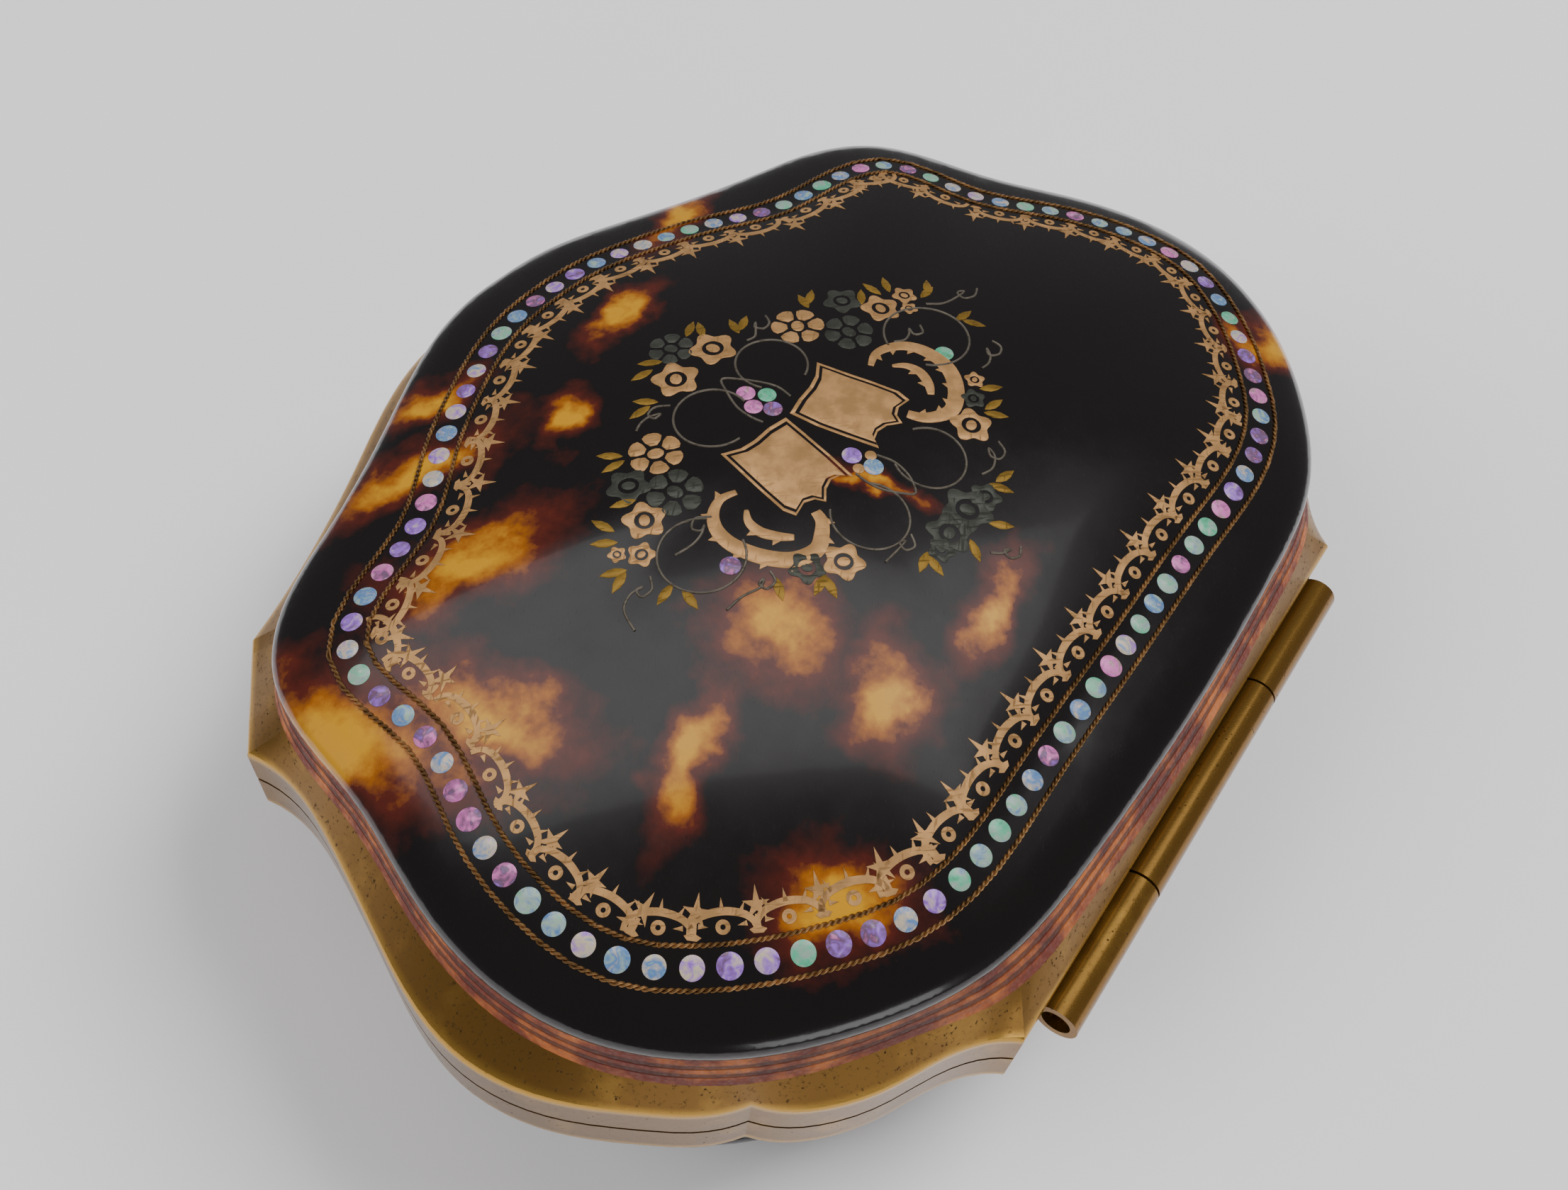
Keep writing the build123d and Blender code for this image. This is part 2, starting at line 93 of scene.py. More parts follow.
GOLD_FLOWERS = [
    (-7.6, -7.0, 2.0, 6), (-1.9, -10.5, 1.8, 5), (-13.2, -3.3, 1.55, 5), (-15.8, -2.8, 1.0, 5),
    (-14.7, -1.7, 0.7, 5), (-7.2, 8.2, 1.6, 5), (-11.2, 6.1, 0.8, 5), (8.6, -7.5, 1.95, 6),
    (2.2, -10.7, 1.8, 5), (13.6, -4.5, 1.55, 5), (15.8, -3.0, 1.0, 5), (16.7, -4.3, 0.65, 5),
    (8.4, 7.8, 1.5, 5),
]
GREY_FLOWERS = [
    (-9.3, -3.6, 1.9, 6), (-12.0, -6.0, 1.5, 5), (-9.5, 7.0, 0.95, 5), (-0.8, 11.8, 1.9, 5),
    (-2.6, 12.2, 1.2, 5), (10.6, -4.3, 2.0, 6), (11.9, -7.2, 1.6, 5), (10.3, 6.2, 1.3, 5),
    (1.7, 11.9, 1.7, 5), (3.2, 12.2, 1.0, 5), (-0.2, -13.0, 1.7, 6),
]
LEAVES = [
    (-1.4, 14.2, 125), (-5.0, 12.3, 165), (-4.0, 12.6, 110), (-9.3, 9.0, 120), (-10.0, 8.4, 165),
    (-11.3, 7.4, 140), (-16.5, 2.9, 110), (-16.7, 1.9, 170), (-17.3, -1.7, 180), (-17.9, -2.0, 215),
    (-15.9, -4.5, 230), (-14.7, -5.0, 265), (-13.3, -5.1, 215), (-11.0, -8.2, 205), (-10.3, -8.3, 240),
    (-5.5, -10.4, 200), (-4.8, -10.7, 240), (-3.1, -12.5, 230), (-2.7, -13.2, 200), (1.6, 13.9, 55),
    (4.5, 12.5, 70), (4.8, 11.8, 15), (10.5, 8.2, 60), (10.8, 7.6, 10), (12.7, 5.7, 50), (16.7, 1.6, 70),
    (17.3, 0.1, 5), (18.2, -2.9, 10), (17.9, -3.6, -40), (16.5, -5.5, -50), (15.5, -6.4, -85),
    (13.3, -6.5, -35), (11.0, -9.2, -20), (10.4, -10.0, -60), (5.1, -11.1, -60), (6.1, -10.8, -15),
    (1.8, -13.3, -50), (3.1, -13.0, -20),
]
WIRE_RINGS = [
    (4.2, 7.1, 2.7, -60, 215), (3.8, -6.3, 2.7, -200, 80), (13.6, 0.2, 2.9, -150, 150),
    (-2.7, 7.5, 2.6, -35, 240), (-3.0, -6.1, 2.6, 100, 380), (-12.8, 1.0, 3.2, 30, 330),
]
WIRE_LINES = [
    [(-1.1, -3.1), (-1.3, -4.2), (-1.1, -5.2), (-0.4, -6.8), (0.4, -8.0), (1.2, -7.0), (2.0, -5.5),
     (2.2, -4.2), (2.1, -3.2)],
    [(-0.4, 4.6), (-0.7, 5.8), (-0.5, 7.0), (0.0, 7.9), (0.6, 8.4), (1.2, 7.7), (1.8, 6.6), (2.0, 5.5),
     (1.9, 4.4)],
    [(-7.3, 10.4), (-6.9, 11.2), (-6.1, 11.3), (-5.8, 10.7), (-6.3, 10.2), (-6.0, 10.9), (-5.0, 11.3),
     (-4.0, 11.0)],
    [(-15.7, 5.0), (-15.6, 5.8), (-14.8, 6.1), (-14.2, 5.6), (-14.7, 5.1), (-14.2, 5.7), (-13.4, 6.0),
     (-12.6, 5.9)],
    [(-20.4, 1.0), (-19.4, 1.3), (-18.6, 0.8), (-18.9, 0.1), (-19.4, 0.4), (-18.6, 0.4), (-17.0, 0.0),
     (-16.0, -1.0)],
    [(-13.5, 0.0), (-12.9, 0.6), (-12.3, 0.2), (-12.6, -0.4), (-12.1, -0.1), (-11.3, 0.0), (-10.6, -0.5)],
    [(-7.2, -9.6), (-6.7, -8.9), (-5.9, -8.8), (-5.6, -9.4), (-6.1, -9.7), (-5.4, -9.2), (-4.7, -8.8),
     (-4.0, -9.0)],
    [(-0.9, 16.1), (-0.2, 16.4), (0.4, 16.0), (0.2, 15.4), (-0.2, 15.7), (0.5, 15.4), (1.0, 14.8)],
    [(4.5, -9.4), (5.2, -10.2), (6.0, -10.2), (6.1, -9.6), (5.5, -9.5), (6.2, -10.0), (7.0, -10.1),
     (7.7, -9.9)],
    [(10.8, -1.1), (11.5, -1.9), (12.3, -1.6), (12.1, -1.0), (11.6, -1.1), (12.4, -0.8), (13.4, -0.8),
     (14.6, -1.2)],
    [(12.0, 4.5), (12.4, 5.2), (13.2, 5.1), (13.2, 4.5), (12.7, 4.5), (13.4, 4.7), (14.6, 4.2),
     (16.0, 4.0)],
    [(16.8, -1.5), (17.5, -0.8), (18.3, -1.0), (18.1, -1.6), (17.7, -1.4), (18.6, -1.7), (19.7, -1.3),
     (20.5, 0.2)],
    [(3.6, 10.0), (4.2, 10.7), (4.9, 10.4), (4.7, 9.8), (4.3, 10.0), (5.2, 10.0), (6.6, 9.9)],
]
SPRAY_PEARLS = [
    (0.6, 5.0, 0.7, 0.30), (0.75, 3.3, 0.7, 0.62), (0.65, -3.4, 0.68, 0.82), (-0.2, -4.5, 0.66, -0.02),
    (1.3, -4.6, 0.66, 0.95), (0.55, -5.8, 0.68, 1.0), (-12.0, 3.0, 0.7, -0.02), (13.2, 2.2, 0.7, 0.80),
]
GOLD_DOTS = [(-0.1, 4.3, 0.42), (1.4, 4.3, 0.42)]


def linear(red, green, blue):
    """A screen colour from 0 to 255 as light."""
    values = [value / 255 for value in (red, green, blue)]
    return tuple(v / 12.92 if v < 0.04045 else ((v + 0.055) / 1.055) ** 2.4 for v in values)


def colour(name, words, *screen):
    """A colour that a user may change."""
    return bpy.props.FloatVectorProperty(
        name=name, description=words, subtype="COLOR", size=3, min=0, max=1, default=linear(*screen)
    )


def length(name, words, size):
    """A length that a user may change, given in mm."""
    return bpy.props.FloatProperty(
        name=name, description=words, subtype="DISTANCE", unit="LENGTH", default=size * MM, min=0, precision=5
    )


class TRINKET_PG_sizes(bpy.types.PropertyGroup):
    """Sizes of the inlay."""

    pearl: length("Pearl disc", "Radius of a pearl disc in the border", 0.74)
    wire: length("Twisted wire", "Radius of one strand of the twisted wires", 0.1)
    wire_gap: length("Wire from pearls", "From the middle of the pearls to each twisted wire", 1.2)
    tendril: length("Tendril", "Width of the silver wires in the spray", 0.2)
    lace_start: length("Lace start", "From the middle of the pearls to the lace", 1.62)
    proud: length("Proud", "How far the inlay stands out of the shell", 0.03)


class TRINKET_PG_colours(bpy.types.PropertyGroup):
    """Colours of the finishes."""

    dark: colour("Dark shell", "The darkest tortoiseshell", 8, 3, 3)
    red: colour("Red shell", "Tortoiseshell between dark and amber", 66, 18, 6)
    amber: colour("Amber shell", "The light patches of the tortoiseshell", 128, 72, 4)
    honey: colour("Honey shell", "The clearest patches of the tortoiseshell", 166, 118, 14)
    brass: colour("Brass", "Worn gilt on the rims", 126, 92, 42)
    # Painted highlight: this bright brass lights the rounded shoulders of the rims, and it also colours real rubbed
    # spots.
    highlight_and_polish: colour("Polished brass", "Bright gilt on the shoulders", 186, 144, 66)
    tarnish: colour("Tarnish", "Specks and hollows of the rims", 44, 30, 12)
    gold: colour("Inlay gold", "Rose gold of the spray and the lace", 222, 170, 112)
    pewter: colour("Pewter", "Grey flowers", 84, 86, 78)
    welt: colour("Welt", "Leather between rim and cover", 96, 34, 16)
    worn: colour("Worn welt", "Leather where it is rubbed", 176, 98, 38)
    lining: colour("Lining", "Leather inside the box", 92, 24, 26)
    ground: colour("Ground", "What the box stands on", 214, 212, 214)


class Field:
    """A socket of a material, so that shader maths can be written as sums."""

    def __init__(self, paint, socket):
        self.paint = paint
        self.socket = socket

    def maths(self, operation, *values):
        return self.paint.node("ShaderNodeMath", {"operation": operation}, values)

    def __add__(self, other):
        return self.maths("ADD", self, other)

    def __sub__(self, other):
        return self.maths("SUBTRACT", self, other)

    def __rsub__(self, other):
        return self.maths("SUBTRACT", other, self)

    def __mul__(self, other):
        return self.maths("MULTIPLY", self, other)

    __radd__ = __add__
    __rmul__ = __mul__

    def least(self, other):
        return self.maths("MINIMUM", self, other)

    def most(self, other):
        return self.maths("MAXIMUM", self, other)

    def size(self):
        """The field without its sign."""
        return self.maths("ABSOLUTE", self)

    def step(self, start, end):
        """0 before start, 1 after end, smooth between them."""
        values = {0: self, 1: start, 2: end, 3: 0.0, 4: 1.0}
        return self.paint.node("ShaderNodeMapRange", {"interpolation_type": "SMOOTHSTEP"}, values)


class Paint:
    """A material in the making, with its pattern in millimetres of the object's own space."""

    def __init__(self, name, **constants):
        self.material = bpy.data.materials.new(name)
        self.material.use_nodes = True
        self.tree = self.material.node_tree
        self.shader = self.tree.nodes["Principled BSDF"]
        for key, value in constants.items():
            self.shader.inputs[key.replace("_", " ").title().replace("Ior", "IOR")].default_value = value
        where = self.node("ShaderNodeTexCoord", {}, {}, "Object")
        self.place = self.node("ShaderNodeVectorMath", {"operation": "SCALE"}, {0: where, "Scale": 1000.0})

    def node(self, kind, settings, values, output=0):
        """Add a node; give back one of its outputs."""
        node = self.tree.nodes.new(kind)
        for key, value in settings.items():
            if key == "stops":
                self.set_stops(node.color_ramp, value)
            else:
                setattr(node, key, value)
        pairs = values.items() if isinstance(values, dict) else enumerate(values)
        for key, value in pairs:
            if isinstance(value, Field):
                self.tree.links.new(value.socket, node.inputs[key])
            else:
                node.inputs[key].default_value = value
        return Field(self, node.outputs[output])

    def set_stops(self, ramp, stops):
        """Give a ramp its stops."""
        while len(ramp.elements) < len(stops):
            ramp.elements.new(1.0)
        for element, (position, shade) in zip(ramp.elements, stops):
            element.position = position
            element.color = (*shade, 1.0)

    def feed(self, socket, field):
        """Link a field to a socket of the shader."""
        self.tree.links.new(field.socket, self.shader.inputs[socket])

    def mix(self, factor, first, second):
        """Blend two colours."""
        values = {0: factor, 6: self.shade(first), 7: self.shade(second)}
        return self.node("ShaderNodeMix", {"data_type": "RGBA"}, values, 2)

    def shade(self, value):
        """A colour as a socket takes it."""
        return value if isinstance(value, Field) else (*value, 1.0)

    def noise(self, scale, detail=3.0, rough=0.55, where=None, distort=0.0):
        """Cloudy value, with scale features in each mm."""
        values = {"Vector": where or self.place, "Scale": scale, "Detail": detail, "Roughness": rough,
                  "Distortion": distort}
        return self.node("ShaderNodeTexNoise", {}, values)

    def cells(self, scale):
        """Distance to the nearest of scattered points."""
        return self.node("ShaderNodeTexVoronoi", {}, {"Vector": self.place, "Scale": scale}, "Distance")

    def stretched(self, size, centre=(0, 0, 0), turn=(0, 0, 0)):
        """The place seen from a centre, turned, and divided by a size, all in mm."""
        values = {"Vector": self.place, "Location": centre, "Rotation": turn, "Scale": size}
        return self.node("ShaderNodeMapping", {"vector_type": "TEXTURE"}, values)

    def split(self, axis):
        """One of the place's three numbers."""
        return self.node("ShaderNodeSeparateXYZ", {}, {0: self.place}, axis)

    def bump(self, height, depth, strength):
        """Raise the surface by a field, to a depth in mm."""
        values = {"Strength": strength, "Distance": depth * MM, "Height": height}
        self.feed("Normal", self.node("ShaderNodeBump", {}, values, "Normal"))


def deselect():
    """Leave nothing selected."""
    bpy.ops.object.select_all(action="DESELECT")


def only(*objects):
    """Select these objects, the first of them active."""
    deselect()
    for item in objects:
        item.select_set(True)
    bpy.context.view_layer.objects.active = objects[0]


def join(objects, name):
    """Make one piece of several, with its place in its mesh."""
    bpy.context.view_layer.update()
    only(*objects)
    if len(objects) > 1:
        bpy.ops.object.join()
    piece = bpy.context.object
    piece.name = name
    piece.data.name = name
    bpy.ops.object.transform_apply(location=True, rotation=True, scale=True)
    return piece


def oval(wide, deep, count):
    """Outline of a circle or an ellipse, from its half sizes."""
    angles = [k * math.tau / count for k in range(count)]
    return [(wide * math.cos(angle), deep * math.sin(angle)) for angle in angles]


def plate(points, cuts=0):
    """Flat plate in plan, with an outline given in mm, its faces divided by a number of cuts."""
    deselect()
    bpy.ops.mesh.primitive_circle_add(vertices=len(points), radius=MM)
    piece = bpy.context.object
    for vertex, (x, y) in zip(piece.data.vertices, points):
        vertex.co = (x * MM, y * MM, 0)
    bpy.ops.object.mode_set(mode="EDIT")
    bpy.ops.mesh.select_all(action="SELECT")
    bpy.ops.mesh.fill()
    if cuts:
        bpy.ops.mesh.subdivide(number_cuts=cuts)
    bpy.ops.object.mode_set(mode="OBJECT")
    if piece.data.polygons[0].normal.z < 0:
        piece.data.flip_normals()
    return piece


def ring(outer, inner):
    """Flat washer in plan, in mm."""
    deselect()
    bpy.ops.mesh.primitive_circle_add(vertices=BUTTON_SIDES, radius=outer * MM, fill_type="NGON")
    piece = bpy.context.object
    bpy.ops.object.mode_set(mode="EDIT")
    bpy.ops.mesh.inset(thickness=(outer - inner) * MM)
    bpy.ops.mesh.delete(type="FACE")
    bpy.ops.object.mode_set(mode="OBJECT")
    return piece


def strip(points, widths):
    """Outline of a ribbon along a line in plan, in mm, with a width at each point."""
    left = []
    right = []
    for i, (x, y) in enumerate(points):
        before = Vector(points[max(i - 1, 0)])
        after = Vector(points[min(i + 1, len(points) - 1)])
        along = (after - before).normalized()
        half = widths[i] / 2
        left.append((x - along.y * half, y + along.x * half))
        right.append((x + along.y * half, y - along.x * half))
    return left + right[::-1]


def smooth(points, count):
    """More points on a smooth line through the given ones."""
    ends = [points[0]] + list(points) + [points[-1]]
    line = []
    for a, b, c, d in zip(ends, ends[1:], ends[2:], ends[3:]):
        for k in range(count):
            t = k / count
            line.append(tuple(
                0.5 * (2 * q + (r - p) * t + (2 * p - 5 * q + 4 * r - s) * t * t
                       + (3 * q - p - 3 * r + s) * t ** 3)
                for p, q, r, s in zip(a, b, c, d)
            ))
    return line + [points[-1]]


def copies(model, places):
    """Copies of a model, each with its own mesh, at (x, y) in mm, turned and sized; the model is used up."""
    made = []
    for x, y, turn, size in places:
        twin = model.copy()
        twin.data = model.data.copy()
        spot = Matrix.Translation((x * MM, y * MM, 0))
        twin.matrix_world = spot @ Matrix.Rotation(turn, 4, "Z") @ Matrix.Diagonal((size, size, 1, 1))
        bpy.context.collection.objects.link(twin)
        made.append(twin)
    bpy.data.objects.remove(model)
    return made


def mark(piece, name, value):
    """Give every point of a piece the same number."""
    field = piece.data.attributes.new(name, "FLOAT", "POINT")
    field.data.foreach_set("value", [value] * len(piece.data.vertices))


def settle(piece, proud, edge=INLAY_EDGE):
    """Drop a flat piece on to the dome, give it a wall and round its edges."""
    only(piece)
    for vertex in piece.data.vertices:
        vertex.co.z = ABOVE
    drop = piece.modifiers.new("Drop", "SHRINKWRAP")
    drop.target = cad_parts["lid_shell"]
    drop.wrap_method = "PROJECT"
    drop.use_project_z = True
    drop.use_negative_direction = True
    drop.use_positive_direction = False
    drop.offset = proud
    thick = piece.modifiers.new("Wall", "SOLIDIFY")
    thick.thickness = INLAY_WALL * MM
    thick.offset = -1
    names = ["Drop", "Wall"]
    if edge:
        rounding = piece.modifiers.new("Edge", "BEVEL")
        rounding.width = edge * MM
        rounding.segments = 2
        rounding.limit_method = "ANGLE"
        rounding.angle_limit = math.radians(50)
        names.append("Edge")
    for name in names:
        bpy.ops.object.modifier_apply(modifier=name)
    bpy.ops.object.shade_smooth_by_angle(angle=math.radians(35))


def finish(piece, paint, slot, *nodes):
    """Paint a piece of the lid, parent it to the lid's empty and hide the CAD nodes that it takes the place of."""
    piece.data.materials.clear()
    piece.data.materials.append(paint.material)
    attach(piece, "lid")
    if nodes:
        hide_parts(*nodes)


def repaint(node, paint):
    """Give a CAD node a material."""
    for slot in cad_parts[node].material_slots:
        slot.material = paint.material


def dome_height(x, y):
    """Height of the lid's dome, in metres, at a place in mm."""
    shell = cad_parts["lid_shell"]
    hit, place, *_ = shell.ray_cast(Vector((x * MM, y * MM, RAY_START)), Vector((0, 0, -1)))
    if not hit:
        raise RuntimeError("no dome there")
    return place.z


def wire(points, radius, closed=False):
    """Round wire along points given in metres, as a mesh."""
    deselect()
    bpy.ops.curve.primitive_nurbs_circle_add(radius=MM)
    strand = bpy.context.object
    strand.data.splines.clear()
    spline = strand.data.splines.new("POLY")
    spline.points.add(len(points) - 1)
    for point, place in zip(spline.points, points):
        point.co = (*place, 1)
    spline.use_cyclic_u = closed
    strand.data.dimensions = "3D"
    strand.data.bevel_depth = radius
    strand.data.bevel_resolution = 1
    strand.data.use_fill_caps = not closed
    only(strand)
    bpy.ops.object.convert(target="MESH")
    bpy.ops.object.shade_smooth()
    return bpy.context.object


def pearl_places():
    """Middle of each pearl disc of the border, in mm, in order round the lid."""
    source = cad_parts["pearl_dots"]
    twin = bpy.data.objects.new("discs", source.data.copy())
    bpy.context.collection.objects.link(twin)
    only(twin)
    bpy.ops.object.mode_set(mode="EDIT")
    bpy.ops.mesh.select_all(action="SELECT")
    bpy.ops.mesh.remove_doubles(threshold=0.000005)
    bpy.ops.mesh.separate(type="LOOSE")
    bpy.ops.object.mode_set(mode="OBJECT")
    places = []
    for item in bpy.context.selected_objects:
        corners = [vertex.co for vertex in item.data.vertices]
        middle = sum(corners, Vector()) / len(corners)
        places.append((middle.x / MM, middle.y / MM))
        bpy.data.objects.remove(item)
    return sorted(places, key=lambda place: math.atan2(place[1], place[0]))


def closed_line(points, count):
    """Evenly spaced places on a closed line, each with its outward direction."""
    loop = [Vector(point) for point in points] + [Vector(points[0])]
    lengths = [0.0]
    for a, b in zip(loop, loop[1:]):
        lengths.append(lengths[-1] + (b - a).length)
    found = []
    k = 0
    for i in range(count):
        target = lengths[-1] * i / count
        while lengths[k + 1] < target:
            k += 1
        part = (target - lengths[k]) / (lengths[k + 1] - lengths[k])
        found.append(loop[k].lerp(loop[k + 1], part))
    line = []
    for i, place in enumerate(found):
        along = (found[(i + 1) % count] - found[i - 1]).normalized()
        line.append((place, Vector((along.y, -along.x))))
    return line


class TRINKET_OT_covers(bpy.types.Operator):
    """Give the two covers their tortoiseshell."""

    bl_idname = "trinket.covers"
    bl_label = "Covers"

    # Light patches: place and half sizes in plan, in mm, and turn in degrees.
    PATCHES = (
        ((4.6, 17.0), (4.8, 1.7), 8), ((15.0, 15.5), (4.0, 3.0), 30), ((15.0, 7.0), (3.6, 4.2), 0),
        ((25.0, 8.0), (6.0, 1.7), 20), ((22.0, -12.0), (6.4, 3.4), -25), ((29.5, -4.0), (2.6, 7.0), 8),
        ((-2.0, -19.0), (4.4, 1.5), 5), ((1.2, 6.0), (0.8, 3.6), 12), ((18.0, -21.0), (7.0, 2.2), -22),
        ((36.0, -11.0), (4.2, 11.0), 18), ((-34.0, 21.0), (4.6, 2.4), -30), ((-15.0, -24.0), (5.0, 1.8), 22),
        ((12.0, -25.0), (3.6, 1.8), -20), ((27.0, 20.0), (3.0, 4.4), 40), ((9.0, -15.0), (2.6, 1.6), 10),
    )

    def execute(self, context):
        colours = context.scene.trinket_colours
        paint = Paint("tortoiseshell", coat_weight=0.35, coat_roughness=0.06, ior=1.54)
        wander = {"Vector": paint.place, "Scale": 0.22, "Detail": 4.0}
        drift = paint.node("ShaderNodeTexNoise", {}, wander, "Color")
        middle = (0.5, 0.5, 0.5)
        centred = paint.node("ShaderNodeVectorMath", {"operation": "SUBTRACT"}, {0: drift, 1: middle})
        pushed = paint.node("ShaderNodeVectorMath", {"operation": "SCALE"}, {0: centred, "Scale": 7.0})
        straight = paint.place
        paint.place = paint.node("ShaderNodeVectorMath", {"operation": "ADD"}, {0: straight, 1: pushed})
        nearest = None
        for (x, y), (wide, deep), turn in self.PATCHES:
            patch = paint.stretched((wide, deep, 60.0), (x, y, 20.0), (0, 0, math.radians(turn)))
            away = paint.node("ShaderNodeVectorMath", {"operation": "LENGTH"}, {0: patch}, "Value")
            nearest = away if nearest is None else nearest.least(away)
        paint.place = straight
        cloud = paint.noise(0.35, detail=5.0, rough=0.6)
        fine = paint.noise(1.6, detail=4.0, rough=0.6)
        light = 1.12 - nearest * 0.6 + (cloud - 0.5) * 0.55 + (fine - 0.5) * 0.22
        stops = [
            (0.0, tuple(colours.dark)), (0.24, tuple(0.8 * v for v in colours.dark)),
            (0.46, tuple(0.5 * v for v in colours.red)), (0.62, tuple(colours.red)),
            (0.8, tuple(colours.amber)), (1.0, tuple(colours.honey)),
        ]
        ramp = paint.node("ShaderNodeValToRGB", {"stops": stops}, {0: light}, "Color")
        paint.feed("Base Color", ramp)
        smear = paint.noise(0.5, detail=4.0)
        scratch = paint.noise(9.0, detail=2.0, where=paint.stretched((6.0, 0.35, 6.0), turn=(0, 0, 0.6)))
        paint.feed("Roughness", 0.13 + smear * 0.12 + scratch.step(0.62, 0.75) * 0.12)
        paint.bump(smear * 0.5 + scratch * 0.06, 0.02, 0.35)
        repaint("lid_shell", paint)
        repaint("base_shell", paint)
        return {"FINISHED"}


class TRINKET_OT_rims(bpy.types.Operator):
    """Give the brass rims, hinge and catch their worn gilt, and paint a highlight on the rounded shoulders."""

    bl_idname = "trinket.rims"
    bl_label = "Rims, hinge and catch"

    def execute(self, context):
        colours = context.scene.trinket_colours
        paint = Paint("rim_brass", metallic=0.8)
        height = (paint.split("Z") - PARTING / MM).size()
        flange = height.step(3.25, 3.9)
        # Mask of the painted highlight: the band of the rounded shoulders, made brighter as if the light falls on
        # them.
        shoulder_highlight = (1 - flange) * height.step(2.55, 3.1)
        cloud = paint.noise(0.28, detail=5.0)
        specks = paint.noise(3.2, detail=5.0, rough=0.7).step(0.56, 0.68) * (0.35 + cloud * 0.9)
        pits = (1 - paint.cells(1.9).step(0.07, 0.2)) * paint.noise(0.5).step(0.45, 0.65)
        # Painted highlight: brighter brass on the rounded shoulders, standing in for the light they catch.
        base = paint.mix(shoulder_highlight, tuple(colours.brass), tuple(colours.highlight_and_polish))
        # Random rubbed spots of real wear, laid over the painted highlight.
        rubbed = paint.mix(cloud.step(0.5, 0.75) * 0.4, base, tuple(colours.highlight_and_polish))
        # Tarnish in specks and pits, kept mostly off the painted highlight on the shoulders.
        dirt = (specks * (0.25 + flange * 0.75)).most(pits * 0.9) * (1 - shoulder_highlight * 0.8)
        paint.feed("Base Color", paint.mix(dirt, rubbed, tuple(colours.tarnish)))
        scratch = paint.noise(7.0, detail=2.0, where=paint.stretched((0.3, 5.0, 0.3), turn=(0, 0, 0.9)))
        paint.feed("Roughness", 0.2 + flange * 0.16 + dirt * 0.35 + scratch.step(0.55, 0.75) * 0.12)
        paint.bump(cloud * 0.8 - dirt * 0.25 + scratch * 0.05, 0.05, 0.5)
        for node in ("lid_rim", "base_rim", "push_piece", "catch_hook"):
            repaint(node, paint)
        steel = Paint("steel", metallic=1.0)
        brushed = steel.noise(4.0, detail=3.0, where=steel.stretched((8.0, 0.4, 0.4)))
        steel.feed("Base Color", steel.mix(brushed, (0.20, 0.17, 0.13), (0.42, 0.38, 0.32)))
        steel.feed("Roughness", 0.3 + brushed * 0.25)
        repaint("hinge_pin", steel)
        repaint("catch_spring", steel)
        return {"FINISHED"}


class TRINKET_OT_leather(bpy.types.Operator):
    """Give the welts, linings and boards their leather and card."""

    bl_idname = "trinket.leather"
    bl_label = "Leather"

    def execute(self, context):
        colours = context.scene.trinket_colours
        welt = Paint("welt_leather", roughness=0.5)
        height = (welt.split("Z") - PARTING / MM).size()
        first = 1 - (height - 6.35).size().step(0.1, 0.26)
        second = 1 - (height - 7.15).size().step(0.1, 0.26)
        lines = first.most(second)
        grain = welt.cells(3.4)
        wear = welt.noise(0.3, detail=4.0).step(0.42, 0.68)
        skin = welt.mix(wear * 0.85, tuple(colours.welt), tuple(colours.worn))
        dark = welt.mix(lines * 0.75, skin, tuple(0.25 * v for v in colours.welt))
        grime = welt.noise(2.5, detail=4.0).step(0.5, 0.72) * 0.4
        welt.feed("Base Color", welt.mix(grime, dark, (0.05, 0.018, 0.008)))
        welt.feed("Roughness", 0.42 + grain * 0.3)
        welt.bump(grain * 0.35 - lines, 0.12, 0.8)
        lining = Paint("lining_leather", roughness=0.7)
        nap = lining.noise(5.0, detail=5.0)
        cloud = lining.noise(0.12, detail=3.0)
        faded = tuple(1.3 * v for v in colours.lining)
        shade = lining.mix(cloud, tuple(0.6 * v for v in colours.lining), faded)
        lining.feed("Base Color", lining.mix(nap.step(0.35, 0.7) * 0.35, shade, (0.02, 0.006, 0.006)))
        lining.bump(nap * 0.5 + lining.cells(2.6) * 0.5, 0.09, 0.7)
        card = Paint("board", roughness=0.8)
        fibre = card.noise(2.0, detail=5.0, where=card.stretched((4.0, 0.5, 1.0)))
        card.feed("Base Color", card.mix(fibre, (0.13, 0.08, 0.045), (0.3, 0.21, 0.13)))
        for side in ("lid", "base"):
            repaint(f"{side}_welt", welt)
            repaint(f"{side}_lining", lining)
            repaint(f"{side}_board", card)
        return {"FINISHED"}


def pearl_paint():
    """Mother-of-pearl, with a colour of its own for each disc."""
    paint = Paint("pearl", coat_weight=0.5, coat_roughness=0.05)
    tint = paint.node("ShaderNodeAttribute", {"attribute_name": "tint"}, {}, "Fac")
    sheen = paint.noise(1.1, detail=2.0, distort=1.2)
    band = paint.noise(2.3, detail=3.0, rough=0.5)
    shift = tint * 0.72 + sheen * 0.5 - 0.08 + (band - 0.5) * 0.16
    stops = [
        (0.0, linear(84, 98, 72)), (0.14, linear(70, 160, 124)), (0.28, linear(138, 156, 144)),
        (0.4, linear(74, 112, 162)), (0.52, linear(178, 164, 138)), (0.64, linear(136, 92, 184)),
        (0.76, linear(92, 70, 88)), (0.88, linear(196, 104, 168)), (1.0, linear(116, 124, 90)),
    ]
    film = paint.node("ShaderNodeValToRGB", {"stops": stops}, {0: shift}, "Color")
    pale = paint.mix(band.step(0.55, 0.85) * 0.25, film, linear(222, 218, 210))
    paint.feed("Base Color", pale)
    paint.feed("Roughness", 0.16 + band * 0.16)
    paint.feed("Metallic", 0.1 + sheen * 0.25)
    paint.bump(sheen, 0.03, 0.3)
    return paint


